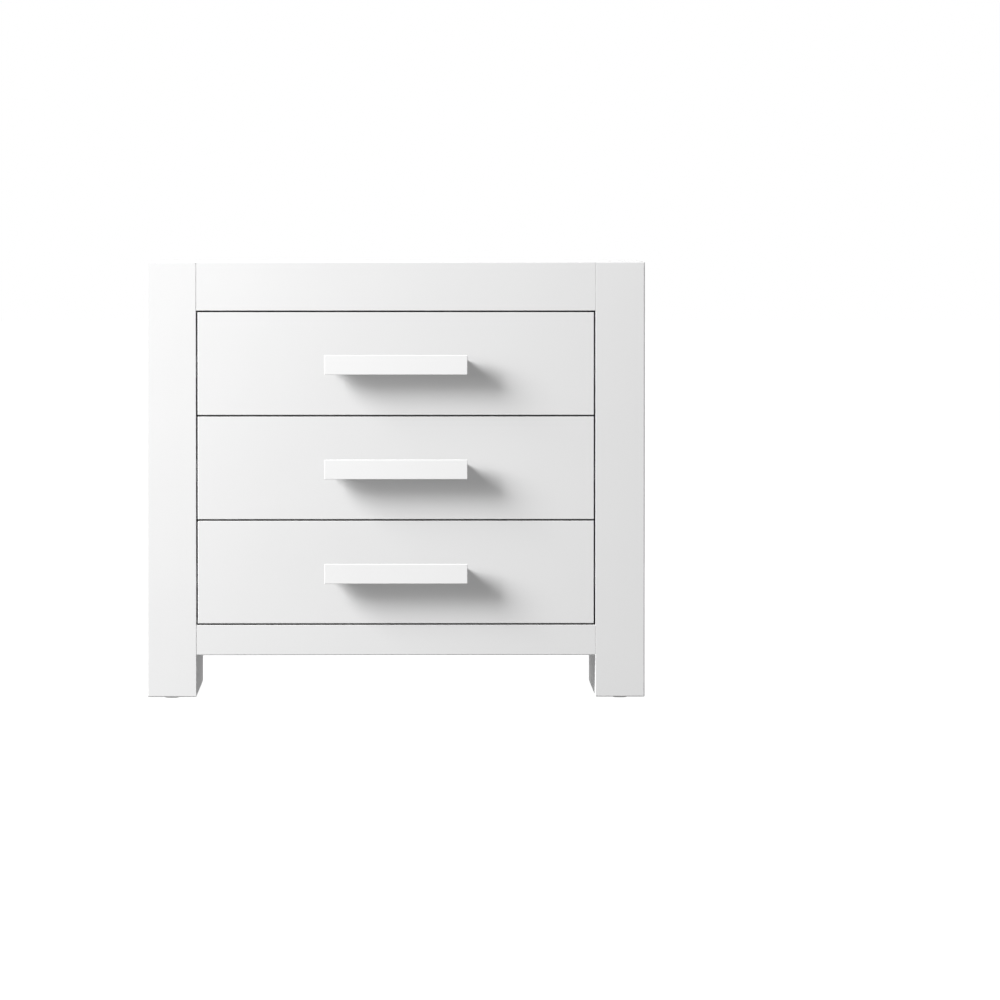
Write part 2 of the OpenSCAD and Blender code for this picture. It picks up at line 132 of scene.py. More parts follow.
def make_lights():
    """Softboxes to the upper left of the front, weaker ones for the other sides, and one over the top."""
    for name, (to_left, up, distance, width, height, power) in SOFTBOXES.items():
        a, e = math.radians(to_left), math.radians(up)
        toward = Vector((-math.sin(a) * math.cos(e), -math.cos(a) * math.cos(e), math.sin(e)))
        softbox(name, TARGET + distance * toward, TARGET, width, height, power)
    below = Vector((OVERHEAD_PLACE.x, OVERHEAD_PLACE.y, 0))
    softbox("overhead", OVERHEAD_PLACE, below, *OVERHEAD_SIZE, OVERHEAD_POWER)


def make_flags():
    """Black cards in the plane of the front. They keep the key light off the top and off the left side."""
    bm = bmesh.new()
    low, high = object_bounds()
    y, gap, reach = FRONT_Y + 0.006, 0.002, 3.0
    left, top = low.x - gap, high.z + gap
    for x0, x1, z0, z1 in ((left - reach, left, 0, top + reach), (left, high.x + reach, top, top + reach)):
        bm.faces.new([bm.verts.new(p) for p in ((x0, y, z0), (x1, y, z0), (x1, y, z1), (x0, y, z1))])
    mesh = bpy.data.meshes.new("flags")
    bm.to_mesh(mesh)
    bm.free()
    flags = placed("flags", mesh)
    material = bpy.data.materials.new("flags")
    material.use_nodes = True
    material.node_tree.nodes["Principled BSDF"].inputs["Base Color"].default_value = (0.01, 0.01, 0.01, 1)
    mesh.materials.append(material)
    flags.visible_camera = False
    flags.visible_diffuse = False
    flags.visible_glossy = False
    flags.visible_transmission = False
    flags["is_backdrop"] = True


def make_world(fill, seen, mirrored):
    """Even light of strength fill from all round, which the camera sees as a backdrop of strength seen.

    Shiny parts reflect a room whose brightness lies between the two, by the share mirrored."""
    world = bpy.data.worlds.new("studio")
    world.use_nodes = True
    bpy.context.scene.world = world
    nodes, links = world.node_tree.nodes, world.node_tree.links
    nodes.clear()
    out = nodes.new("ShaderNodeOutputWorld")
    mix = nodes.new("ShaderNodeMixShader")
    ray = nodes.new("ShaderNodeLightPath")
    light = nodes.new("ShaderNodeBackground")
    light.inputs["Strength"].default_value = fill
    light.inputs["Color"].default_value = (1, 1, 1, 1)
    backdrop = nodes.new("ShaderNodeBackground")
    backdrop.inputs["Strength"].default_value = seen
    backdrop.inputs["Color"].default_value = (1, 1, 1, 1)
    share = nodes.new("ShaderNodeMath")
    share.operation = "MULTIPLY_ADD"
    share.inputs[1].default_value = mirrored
    links.new(ray.outputs["Is Glossy Ray"], share.inputs[0])
    links.new(ray.outputs["Is Camera Ray"], share.inputs[2])
    links.new(share.outputs[0], mix.inputs[0])
    links.new(light.outputs[0], mix.inputs[1])
    links.new(backdrop.outputs[0], mix.inputs[2])
    links.new(mix.outputs[0], out.inputs[0])


FLOOR_REACH = 60


def make_floor():
    """A white floor that glows, so that it runs into the backdrop. From below it is clear."""
    mesh = bpy.data.meshes.new("floor")
    corners = [(x * FLOOR_REACH, y * FLOOR_REACH, 0) for x, y in ((-1, -1), (1, -1), (1, 1), (-1, 1))]
    mesh.from_pydata(corners, [], [(0, 1, 2, 3)])
    floor = placed("floor", mesh)
    material = bpy.data.materials.new("floor")
    material.use_nodes = True
    nodes, links = material.node_tree.nodes, material.node_tree.links
    shader = nodes["Principled BSDF"]
    clear = nodes.new("ShaderNodeBsdfTransparent")
    side = nodes.new("ShaderNodeNewGeometry")
    mix = nodes.new("ShaderNodeMixShader")
    links.new(side.outputs["Backfacing"], mix.inputs[0])
    links.new(shader.outputs[0], mix.inputs[1])
    links.new(clear.outputs[0], mix.inputs[2])
    links.new(mix.outputs[0], nodes["Material Output"].inputs["Surface"])
    shader.inputs["Base Color"].default_value = (0.25, 0.25, 0.25, 1)
    shader.inputs["Roughness"].default_value = 0.9
    shader.inputs["Specular IOR Level"].default_value = 0
    shader.inputs["Emission Color"].default_value = (1, 1, 1, 1)
    shader.inputs["Emission Strength"].default_value = 0.95
    mesh.materials.append(material)
    floor.visible_diffuse = False
    floor.visible_glossy = False
    floor.visible_shadow = False
    floor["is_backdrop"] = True


# ------------------------------------------------------------------------------------------------
# Materials

class Shader:
    """A node material in the object's own coordinates, in metres."""

    def __init__(self, name):
        self.material = bpy.data.materials.new(name)
        self.material.use_nodes = True
        self.tree = self.material.node_tree
        self.bsdf = self.tree.nodes["Principled BSDF"]
        self.place = self.add("ShaderNodeTexCoord").outputs["Object"]

    def add(self, kind, **settings):
        node = self.tree.nodes.new(kind)
        for key, value in settings.items():
            setattr(node, key, value)
        return node

    def link(self, source, target):
        self.tree.links.new(source, target)

    def value(self, name, value):
        self.bsdf.inputs[name].default_value = value

    def stretched(self, scale):
        """The coordinates multiplied by scale along each axis."""
        node = self.add("ShaderNodeMapping")
        node.inputs["Scale"].default_value = scale
        self.link(self.place, node.inputs["Vector"])
        return node.outputs["Vector"]

    def noise(self, scale, detail=2.0, rough=0.5, place=None, distortion=0.0):
        node = self.add("ShaderNodeTexNoise")
        node.inputs["Scale"].default_value = scale
        node.inputs["Detail"].default_value = detail
        node.inputs["Roughness"].default_value = rough
        node.inputs["Distortion"].default_value = distortion
        self.link(place or self.place, node.inputs["Vector"])
        return node.outputs["Fac"]

    def ramp(self, factor, *stops):
        """Colours along factor, from stops of (position, colour)."""
        node = self.add("ShaderNodeValToRGB")
        band = node.color_ramp
        while len(band.elements) < len(stops):
            band.elements.new(0.5)
        for element, (position, colour) in zip(band.elements, stops):
            element.position = position
            element.color = (*colour, 1)
        self.link(factor, node.inputs["Fac"])
        return node.outputs["Color"]

    def between(self, factor, low, high, at=(0.3, 0.7)):
        node = self.add("ShaderNodeMapRange")
        node.inputs["From Min"].default_value = at[0]
        node.inputs["From Max"].default_value = at[1]
        node.inputs["To Min"].default_value = low
        node.inputs["To Max"].default_value = high
        self.link(factor, node.inputs["Value"])
        return node.outputs["Result"]

    def bump(self, height, distance, strength=1.0, under=None):
        node = self.add("ShaderNodeBump")
        node.inputs["Strength"].default_value = strength
        node.inputs["Distance"].default_value = distance
        self.link(height, node.inputs["Height"])
        if under is not None:
            self.link(under, node.inputs["Normal"])
        return node.outputs["Normal"]

    def use(self, colour=None, roughness=None, normal=None):
        for source, name in ((colour, "Base Color"), (roughness, "Roughness"), (normal, "Normal")):
            if source is not None:
                self.link(source, self.bsdf.inputs[name])
        return self.material


def grey(level, warm=0.0):
    """A near-neutral linear colour, a little yellower as warm grows."""
    return (level + warm, level, level - warm)


def satin_lacquer(name, level, warm=0.0):
    """Sprayed satin lacquer: faint clouding of the tone, slight orange peel, long soft waves of the board."""
    s = Shader(name)
    clouds = s.noise(2.2, detail=3)
    colour = s.ramp(clouds, (0.3, grey(level - 0.012, warm)), (0.7, grey(level + 0.008, warm)))
    roughness = s.between(s.noise(55, detail=4), 0.45, 0.53)
    s.value("Specular IOR Level", 0.2)
    waves = s.bump(s.noise(9, detail=1), 0.0006, 0.25)
    peel = s.bump(s.noise(650, detail=2), 0.00006, 0.35, under=waves)
    return s.use(colour, roughness, peel)


def melamine(name, level, warm):
    """Melamine-faced board: a fine pearl texture, matt."""
    s = Shader(name)
    colour = s.ramp(s.noise(5, detail=4), (0.3, grey(level - 0.015, warm)), (0.7, grey(level + 0.01, warm)))
    roughness = s.between(s.noise(120, detail=2), 0.48, 0.58)
    pearl = s.bump(s.noise(1400, detail=1), 0.00008, 0.5)
    return s.use(colour, roughness, pearl)


def hardboard(name, level, warm):
    """Painted hardboard: matt, with a faint felt-like grain."""
    s = Shader(name)
    fibres = s.noise(60, detail=8, rough=0.7, place=s.stretched((1, 1, 3)))
    colour = s.ramp(fibres, (0.25, grey(level - 0.03, warm)), (0.75, grey(level + 0.015, warm)))
    roughness = s.between(fibres, 0.6, 0.72)
    grain = s.bump(s.noise(900, detail=4), 0.0001, 0.5)
    return s.use(colour, roughness, grain)


def bare_wood(name):
    """Beech: fine straight grain with short dark flecks."""
    s = Shader(name)
    grain = s.noise(160, detail=6, rough=0.6, place=s.stretched((0.12, 1, 1)), distortion=0.3)
    colour = s.ramp(grain, (0.25, (0.5, 0.33, 0.18)), (0.5, (0.66, 0.47, 0.28)), (0.8, (0.74, 0.56, 0.36)))
    roughness = s.between(grain, 0.55, 0.7)
    return s.use(colour, roughness, s.bump(grain, 0.0003, 0.4))


def zinc_plate(name, base, rough):
    """Bright zinc on rolled steel: fine rolling lines along the part, a cloudy sheen."""
    s = Shader(name)
    lines = s.noise(900, detail=3, place=s.stretched((1, 0.02, 1)))
    clouds = s.noise(25, detail=3)
    dark = tuple(c * 0.88 for c in base)
    colour = s.ramp(clouds, (0.3, dark), (0.7, base))
    roughness = s.between(lines, rough - 0.06, rough + 0.08)
    s.value("Metallic", 1.0)
    return s.use(colour, roughness, s.bump(lines, 0.00004, 0.4))


def cast_metal(name, base, rough):
    """Die-cast zinc: dull, with a grainy skin."""
    s = Shader(name)
    clouds = s.noise(300, detail=4)
    dark = tuple(c * 0.8 for c in base)
    colour = s.ramp(clouds, (0.3, dark), (0.7, base))
    roughness = s.between(clouds, rough - 0.05, rough + 0.1)
    s.value("Metallic", 1.0)
    return s.use(colour, roughness, s.bump(s.noise(2200, detail=2), 0.00008, 0.6))


def moulded_plastic(name, level):
    """Moulded plastic: satin, with the fine grain of its mould."""
    s = Shader(name)
    colour = s.ramp(s.noise(90, detail=3), (0.3, grey(level * 0.85)), (0.7, grey(level)))
    roughness = s.between(s.noise(400), 0.42, 0.55)
    return s.use(colour, roughness, s.bump(s.noise(1800), 0.00006, 0.5))


MATERIALS = {
    "lacquer": satin_lacquer("lacquer", 0.82),
    "handle_lacquer": satin_lacquer("handle_lacquer", 0.91),
    "drawer_board": melamine("drawer_board", 0.82, 0.006),
    "hardboard": hardboard("hardboard", 0.78, 0.008),
    "timber": bare_wood("timber"),
    "zinc_steel": zinc_plate("zinc_steel", (0.74, 0.76, 0.79), 0.28),
    "cast_zinc": cast_metal("cast_zinc", (0.56, 0.57, 0.6), 0.42),
    "glide_plastic": moulded_plastic("glide_plastic", 0.7),
}


def paint_cad_nodes():
    """Gives every CAD node the material of its slot."""
    for row in frame["record"]["subparts"]:
        mesh = frame["nodes"][row["node"]].data
        mesh.materials.clear()
        mesh.materials.append(MATERIALS[row["material_slot"]])


def keep_glow_off_fronts():
    """Lets no light bounce from the handles, which would draw a bright band on the drawer fronts."""
    for i in DRAWERS:
        for part in ("handle_bar", "handle_strip"):
            frame["nodes"][f"drawer_{i}_{part}"].visible_diffuse = False


def shade_drawer_boxes():
    """Keeps the key light off the boards of the drawer boxes, which burn out in it when a drawer is open."""
    boards = bpy.data.collections.new("drawer_boards")
    for i in DRAWERS:
        for part in ("left_side", "right_side", "back", "bottom"):
            boards.objects.link(frame["nodes"][f"drawer_{i}_{part}"])
    for entry in boards.collection_objects:
        entry.light_linking.link_state = "EXCLUDE"
    bpy.data.objects["key"].light_linking.receiver_collection = boards


# ------------------------------------------------------------------------------------------------
# Mesh building. Pieces are built in millimetres and scaled down at the end.

def tube(bm, rings):
    """Faces from ring to ring, which have equally many points. Gives back the rings' vertices."""
    loops = [[bm.verts.new(point) for point in ring] for ring in rings]
    count = len(loops[0])
    for low, high in zip(loops, loops[1:]):
        for k in range(count):
            j = (k + 1) % count
            bm.faces.new((low[k], low[j], high[j], high[k]))
    return loops


def skin(bm, rings):
    """Closed solid through the rings, capped at both ends."""
    loops = tube(bm, rings)
    bm.faces.new(loops[0][::-1])
    bm.faces.new(loops[-1])


def circle(radius, z, sides, flutes=0.0):
    """Points of a ring round the Z axis. flutes takes that much off every second point."""
    points = []
    for k in range(sides):
        turn = 2 * math.pi * k / sides
        r = radius - (flutes if k % 2 else 0)
        points.append((r * math.cos(turn), r * math.sin(turn), z))
    return points


def turned(profile, sides):
    """Rings of a turned shape from its profile of (z, radius)."""
    return [circle(radius, z, sides) for z, radius in profile]


def thread(z0, z1, core, crest, pitch, sides):
    """Rings of a shank with a helical thread that runs out at both ends."""
    rows = round(4 * (z1 - z0) / pitch)
    rings = []
    for row in range(rows + 1):
        z = z0 + (z1 - z0) * row / rows
        fade = min(1.0, (z - z0) / pitch, (z1 - z) / pitch)
        ring = []
        for k in range(sides):
            phase = ((z - z0) / pitch - k / sides) % 1
            radius = core + (crest - core) * fade * (1 - abs(2 * phase - 1))
            turn = 2 * math.pi * k / sides
            ring.append((radius * math.cos(turn), radius * math.sin(turn), z))
        rings.append(ring)
    return rings


def oblong(half_x, half_y, corner, z, steps=5):
    """Points of a rectangle with rounded corners."""
    points = []
    for k, (sx, sy) in enumerate(((1, 1), (-1, 1), (-1, -1), (1, -1))):
        for step in range(steps + 1):
            turn = math.pi / 2 * (k + step / steps)
            points.append((sx * (half_x - corner) + corner * math.cos(turn),
                           sy * (half_y - corner) + corner * math.sin(turn), z))
    return points


def mesh_of(bm, name):
    bmesh.ops.recalc_face_normals(bm, faces=bm.faces)
    mesh = bpy.data.meshes.new(name)
    bm.to_mesh(mesh)
    bm.free()
    return mesh


def solid(name, *ring_sets):
    """A mesh of one closed solid for each set of rings."""
    bm = bmesh.new()
    for rings in ring_sets:
        skin(bm, rings)
    return mesh_of(bm, name)


def cut(mesh, cutter):
    """mesh less cutter. Both are used up."""
    base, tool = placed("cut_base", mesh), placed("cut_tool", cutter)
    modifier = base.modifiers.new("cut", "BOOLEAN")
    modifier.operation = "DIFFERENCE"
    modifier.solver = "EXACT"
    modifier.use_self = True
    modifier.object = tool
    bpy.context.view_layer.update()
    result = bpy.data.meshes.new_from_object(base.evaluated_get(bpy.context.evaluated_depsgraph_get()))
    for obj in (base, tool):
        bpy.data.objects.remove(obj)
    return result


def stamp(bm, mesh, place):
    """Adds a copy of mesh to bm, moved by the matrix place."""
    first = len(bm.verts)
    bm.from_mesh(mesh)
    bm.verts.ensure_lookup_table()
    bmesh.ops.transform(bm, matrix=place, verts=bm.verts[first:])


def at(x, y, z, up=(0, 0, 1), along=None):
    """Matrix that moves the origin to x, y, z, turns +Z to up and, if given, +X to along."""
    up = Vector(up).normalized()
    if along is None:
        turn = up.to_track_quat("Z", "Y").to_matrix()
    else:
        along = Vector(along).normalized()
        turn = Matrix((along, up.cross(along), up)).transposed()
    return Matrix.Translation((x, y, z)) @ turn.to_4x4()


def piece(bm, name, body, slot, *nodes):
    """Turns bm, in millimetres, into a shown piece that rides on body and replaces the nodes."""
    bmesh.ops.scale(bm, vec=(MM, MM, MM), verts=bm.verts)
    mesh = mesh_of(bm, name)
    mesh.polygons.foreach_set("use_smooth", [True] * len(mesh.polygons))
    mesh.set_sharp_from_angle(angle=math.radians(32))
    mesh.materials.clear()
    mesh.materials.append(MATERIALS[slot])
    obj = placed(name, mesh)
    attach(obj, body)
    if nodes:
        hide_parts(*nodes)


# ------------------------------------------------------------------------------------------------
# Places taken from the frame, and the few sizes of fittings that its boxes don't give

def span(node, axis):
    """Lowest and highest coordinate of a CAD node along an axis, in millimetres."""
    low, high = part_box(node)
    return low["xyz".index(axis)] / MM, high["xyz".index(axis)] / MM


def middle(node, axis):
    return sum(span(node, axis)) / 2


SIDES = (-1, 1)
INNER_X = span("right_inner_panel", "x")[0]
OUTER_X = span("right_outer_panel", "x")[1]
CARCASS_FRONT, CARCASS_REAR = span("right_top_cap", "y")
CAP_Z, TOP_Z = span("top_panel", "z")
LEG_Z, OPENING_BOTTOM = span("bottom_front_rail", "z")
OPENING_TOP = span("top_front_rail", "z")[0]
FLOOR_Z = span("bottom_panel", "z")[0]
BOARD_T = TOP_Z - CAP_Z
FRONT_BOARD_Y = CARCASS_FRONT + BOARD_T / 2
REAR_BOARD_Y = middle("top_rear_rail", "y")
STILE_T = span("right_front_stile", "y")[1] - CARCASS_FRONT
SLIDE_Y = span("cabinet_slide_rails", "y")
MIDDLE_Y = span("drawer_1_middle_rails", "y")
BOX_Y, BOX_BACK_Y = span("drawer_1_right_side", "y")
BOX_INSIDE_X, BOX_X = span("drawer_1_right_side", "x")
BOX_T = BOX_X - BOX_INSIDE_X
SLIDE_SCREW_Y = (SLIDE_Y[0] + 35, SLIDE_Y[0] + 190, SLIDE_Y[1] - 50)
ANCHOR_X, ANCHOR_Z = 300, OPENING_TOP + 40
PLATE_SCREW_X = (-25, 25)
BACK_SCREW_X = (-200, 0, 200)
HANDLE_SCREW_X, GRIP_IN_HANDLE = 96, 10
CAM_SET_BACK = 34
BOLT_GRIP = 11
BOX_FIX_Z = (40, 125)
BOX_CAM_SET_BACK = 24
RAIL_T = 1.2


def slide_z(i):
    return middle(f"drawer_{i}_drawer_rails", "z")


# ------------------------------------------------------------------------------------------------
# Screws

def cross_recess(half_long, half_wide, depth):
    """Cutter of a cross recess in a face at z = 0."""
    bm = bmesh.new()
    for long, wide in ((half_long, half_wide), (half_wide, half_long)):
        rings = []
        for z, share in ((-depth, 0.45), (0.3, 1.05)):
            a = long * share if long > wide else long * (0.6 + 0.4 * share)
            b = wide * share if wide > long else wide * (0.6 + 0.4 * share)
            rings.append([(a, b, z), (-a, b, z), (-a, -b, z), (a, -b, z)])
        skin(bm, rings)
    return mesh_of(bm, "recess")


def countersunk_screw(length, head_r, head_h, shank_r, threaded_from):
    """Wood screw with its head's face at z = 0 and its point down."""
    rings = turned([(-length, 0.25), (-length + 1.0, shank_r * 0.5)], 16)
    rings += thread(-length + 2.0, -threaded_from, shank_r * 0.72, shank_r, 1.8, 16)
    rings += turned([(-threaded_from + 0.3, shank_r * 0.9), (-head_h, shank_r), (-0.3, head_r - 0.05),
                     (-0.12, head_r), (0, head_r - 0.12)], 16)
    return cut(solid("screw", rings), cross_recess(head_r * 0.56, 0.55, min(1.6, head_h)))


def pan_screw(length, head_r, head_h, shank_r, pitch):
    """Screw with a pan head on z = 0 and its shank down."""
    rings = turned([(-length, shank_r * 0.35), (-length + 0.8, shank_r * 0.7)], 20)
    rings += thread(-length + 1.0, -1.0, shank_r * 0.75, shank_r, pitch, 20)
    rings += turned([(-0.7, shank_r * 0.9), (-0.01, shank_r * 0.9), (0, head_r), (head_h * 0.45, head_r),
                     (head_h * 0.8, head_r * 0.9), (head_h * 0.96, head_r * 0.72),
                     (head_h, head_r * 0.45)], 20)
    recess = cross_recess(head_r * 0.55, 0.55, head_h * 0.8)
    recess.transform(Matrix.Translation((0, 0, head_h)))
    return cut(solid("screw", rings), recess)


def make_screws():
    """Screws of the back and the wall plates, then of the cabinet's slide members, then of each drawer."""
    back = countersunk_screw(length=16, head_r=3.5, head_h=2, shank_r=1.75, threaded_from=3)
    bm = bmesh.new()
    rebate_x = (span("back_panel", "x")[1] + INNER_X) / 2
    apart = (CAP_Z - LEG_Z - 170) / 4
    points = [(side * rebate_x, LEG_Z + 60 + k * apart) for side in SIDES for k in range(5)]
    points += [(x, z) for x in BACK_SCREW_X for z in (CAP_Z - 24, LEG_Z + 22)]
    points += [(side * ANCHOR_X + x, ANCHOR_Z) for side in SIDES for x in PLATE_SCREW_X]
    for k, (x, z) in enumerate(points):
        twist = Matrix.Rotation(k * 0.7, 4, "Z")
        stamp(bm, back, at(x, CARCASS_REAR, z, up=(0, 1, 0)) @ twist)
    piece(bm, "back_screws_fine", "carcass", "zinc_steel", "back_screws")

    slide = pan_screw(length=14.4 + RAIL_T, head_r=3.4, head_h=1.4, shank_r=1.75, pitch=1.8)
    bm = bmesh.new()
    for side in SIDES:
        for i in DRAWERS:
            for k, y in enumerate(SLIDE_SCREW_Y):
                twist = Matrix.Rotation(k * 0.9 + i, 4, "Z")
                stamp(bm, slide, at(side * (INNER_X - RAIL_T), y, slide_z(i), up=(-side, 0, 0)) @ twist)
    piece(bm, "cabinet_slide_screws_fine", "carcass", "zinc_steel", "cabinet_slide_screws")

    member = pan_screw(length=9 + RAIL_T, head_r=3.4, head_h=1.4, shank_r=1.75, pitch=1.8)
    box = countersunk_screw(length=35, head_r=3.5, head_h=2, shank_r=1.75, threaded_from=12)
    for i in DRAWERS:
        bm = bmesh.new()
        handle_z = middle(f"drawer_{i}_handle_strip", "z")
        box_z = span(f"drawer_{i}_right_side", "z")[0]
        bar_y = span(f"drawer_{i}_handle_bar", "y")[1]
        long = BOX_Y - bar_y + GRIP_IN_HANDLE
        handle = pan_screw(length=long, head_r=4, head_h=2.2, shank_r=2, pitch=1.4)
        for side in SIDES:
            place = at(side * HANDLE_SCREW_X, BOX_Y, handle_z, up=(0, 1, 0))
            stamp(bm, handle, place @ Matrix.Rotation(i + side, 4, "Z"))
            for k, y in enumerate(SLIDE_SCREW_Y):
                twist = Matrix.Rotation(k * 1.1 + i, 4, "Z")
                stamp(bm, member, at(side * (BOX_X + RAIL_T), y, slide_z(i), up=(side, 0, 0)) @ twist)
            for z in BOX_FIX_Z:
                place = at(side * BOX_X, BOX_BACK_Y - BOX_T / 2, box_z + z, up=(side, 0, 0))
                stamp(bm, box, place @ Matrix.Rotation(z, 4, "Z"))
        piece(bm, f"drawer_{i}_screws_fine", f"drawer_{i}", "zinc_steel", f"drawer_{i}_screws")


# ------------------------------------------------------------------------------------------------
# Cam locks and dowels

def cam(depth, bolt_z, bolt_r):
    """Cam with its face at z = 0, whose bolt comes in along +X at -bolt_z."""
    body = solid("cam", turned([(-depth, 6.9), (-depth + 0.5, 7.4), (-2.4, 7.4), (-2.3, 7.0), (-1.7, 7.0),
                                (-1.6, 7.45), (-0.35, 7.45), (0, 7.15)], 40))
    body = cut(body, cross_recess(3.6, 0.95, 2.6))
    mark = solid("mark", [[(6.4, 0, z), (4.9, 0.8, z), (4.9, -0.8, z)] for z in (-0.5, 0.3)])
    body = cut(body, mark)
    passage = solid("passage", turned([(-3.4, bolt_r + 0.35), (9, bolt_r + 0.35)], 20))
    passage.transform(Matrix.Translation((0, 0, -bolt_z)) @ Matrix.Rotation(math.pi / 2, 4, "Y"))
    return cut(body, passage)


def bolt(length, radius):
    """Cam bolt from its head at z = 0 up to its threaded end."""
    rings = turned([(-2.2, radius * 0.45), (-1.6, radius * 0.85), (0, radius * 0.97), (1.6, radius * 0.85),
                    (2.4, radius * 0.5), (5, radius * 0.5), (5.6, radius * 0.9), (length - 13, radius * 0.9),
                    (length - 12.5, radius * 0.98), (length - 11.4, radius * 0.98),
                    (length - 11.2, radius * 0.8)], 20)
    rings += thread(length - 11, length - 1, radius * 0.72, radius * 0.99, 2.4, 20)
    rings += turned([(length - 0.4, radius * 0.6), (length, radius * 0.35)], 20)
    return solid("bolt", rings)


def make_cam_locks():
    """Cams and bolts of the carcass, then of each drawer box."""
    board_cam = cam(depth=BOARD_T / 2 + 3.5, bolt_z=BOARD_T / 2, bolt_r=3)
    floor_cam = cam(depth=12.5, bolt_z=9, bolt_r=3)
    steel_bolt = bolt(length=CAM_SET_BACK + BOLT_GRIP, radius=3)
    # y and z of the bolt, the way the cam's face looks, the cam, how far its face is from the bolt
    locks = [(y, TOP_Z - BOARD_T / 2, (0, 0, -1), board_cam, BOARD_T / 2) for y in (-150, 150)]
    locks += [(y, FLOOR_Z + 9, (0, 0, -1), floor_cam, 9) for y in (-180, 20, 220)]
    locks += [(FRONT_BOARD_Y, z, (0, 1, 0), board_cam, BOARD_T / 2) for z in (OPENING_TOP + 40, LEG_Z + 31)]
    locks += [(REAR_BOARD_Y, z, (0, -1, 0), board_cam, BOARD_T / 2) for z in (OPENING_TOP + 40, LEG_Z + 22)]
    bm = bmesh.new()
    for side in SIDES:
        x = side * (INNER_X - CAM_SET_BACK)
        for y, z, face, body, half_t in locks:
            centre = Vector((x, y, z))
            stamp(bm, body, at(*(centre + half_t * Vector(face)), up=face, along=(side, 0, 0)))
            stamp(bm, steel_bolt, at(*centre, up=(side, 0, 0)))
    piece(bm, "carcass_connectors_fine", "carcass", "cast_zinc", "carcass_connectors")

    box_cam = cam(depth=9, bolt_z=BOX_T / 2, bolt_r=2.5)
    box_bolt = bolt(length=BOX_CAM_SET_BACK + BOLT_GRIP, radius=2.5)
    for i in DRAWERS:
        box_z = span(f"drawer_{i}_right_side", "z")[0]
        bm = bmesh.new()
        for side in SIDES:
            for z in BOX_FIX_Z:
                y = BOX_Y + BOX_CAM_SET_BACK
                stamp(bm, box_cam, at(side * BOX_INSIDE_X, y, box_z + z, up=(-side, 0, 0), along=(0, -1, 0)))
                stamp(bm, box_bolt, at(side * (BOX_X - BOX_T / 2), y, box_z + z, up=(0, -1, 0)))
        piece(bm, f"drawer_{i}_connectors_fine", f"drawer_{i}", "cast_zinc", f"drawer_{i}_connectors")


def make_dowels():
    """Fluted dowels with chamfered ends."""
    rings = [circle(3.2, -15, 40), circle(4, -13.8, 40, 0.3), circle(4, 13.8, 40, 0.3), circle(3.2, 15, 40)]
    dowel = solid("dowel", rings)
    points = [(y, TOP_Z - BOARD_T / 2) for y in (-210, 0, 210)]
    points += [(FRONT_BOARD_Y, z) for z in (OPENING_TOP + 21, OPENING_TOP + 63, LEG_Z + 12, LEG_Z + 50)]
    points += [(REAR_BOARD_Y, z) for z in (OPENING_TOP + 18, OPENING_TOP + 63, LEG_Z + 8, LEG_Z + 36)]
    bm = bmesh.new()
    for side in SIDES:
        for y, z in points:
            stamp(bm, dowel, at(side * INNER_X, y, z, up=(1, 0, 0)))
    piece(bm, "carcass_dowels_fine", "carcass", "timber", "carcass_dowels")


# ------------------------------------------------------------------------------------------------
# Glides and wall plates

def make_glides():
    """Four round glides, each with the nail that holds it in a well."""
    disc = solid("glide", turned([(0.4, 4.0), (0.4, 4.6), (0, 5.4), (0, 12.8), (0.2, 13.9), (0.7, 14.7),
                                  (1.3, 15), (2, 15)], 48))
    disc = cut(disc, solid("well", turned([(-1, 3.6), (1.2, 3.6), (1.2001, 2.05), (3, 2.05)], 32)))
    nail = solid("nail", turned([(0.5, 2.9), (0.65, 3.4), (1.0, 3.4), (1.18, 1.95), (14, 1.95),
                                 (15.9, 0.4)], 24))
    discs, nails = bmesh.new(), bmesh.new()
    for side in SIDES:
        for y in (CARCASS_FRONT + STILE_T / 2, CARCASS_REAR - STILE_T / 2):
            place = at(side * (INNER_X + OUTER_X) / 2, y, 0)
            stamp(discs, disc, place)
            stamp(nails, nail, place)
    piece(discs, "floor_glides_fine", "carcass", "glide_plastic", "floor_glides")
    piece(nails, "glide_nails", "carcass", "zinc_steel")


def make_wall_plates():
    """Steel plates let into the back, with rounded corners, an anchor hole and two countersunk holes."""
    plate = solid("plate", [oblong(36, 12, 3, -2), oblong(36, 12, 3, -0.4), oblong(35.6, 11.6, 2.6, 0)])
    holes = bmesh.new()
    stamp(holes, solid("hole", turned([(-3, 3.25), (-0.3, 3.25), (0.1, 3.65), (1, 3.65)], 40)), Matrix())
    sink = solid("sink", turned([(-3, 1.85), (-1.95, 1.85), (0.1, 3.65), (1, 3.65)], 32))
    for x in PLATE_SCREW_X:
        stamp(holes, sink, Matrix.Translation((x, 0, 0)))
    plate = cut(plate, mesh_of(holes, "holes"))
    bm = bmesh.new()
    for side in SIDES:
        stamp(bm, plate, at(side * ANCHOR_X, CARCASS_REAR, ANCHOR_Z, up=(0, 1, 0), along=(1, 0, 0)))
    piece(bm, "wall_anchor_plates_fine", "carcass", "zinc_steel", "wall_anchor_plates")


# ------------------------------------------------------------------------------------------------
# Ball-bearing slides. Across is measured from the side slab, up from the middle of the slide.

CABINET_MEMBER = (0, 9.5, 22.5)
MIDDLE_MEMBER = (3.2, 11, 18.1)
DRAWER_MEMBER = (13, 5.6, 13.7)
BALL_R, BALL_PITCH, BALLS_IN_ROW = 1.5, 15, 12
CAGE_HALF = BALL_PITCH * BALLS_IN_ROW / 2
BALL_ROWS = (
    # across, up and down, where the row starts, width of its cage
    (6.3, 19.7, MIDDLE_Y[0] + 250, 4.3),
    (7.9, 15.3, MIDDLE_Y[0] + 18, 3.2),
)
LEVER_ACROSS, LEVER_Y, RIVET_Y = 9.6, SLIDE_Y[0] + 238, SLIDE_Y[0] + 245


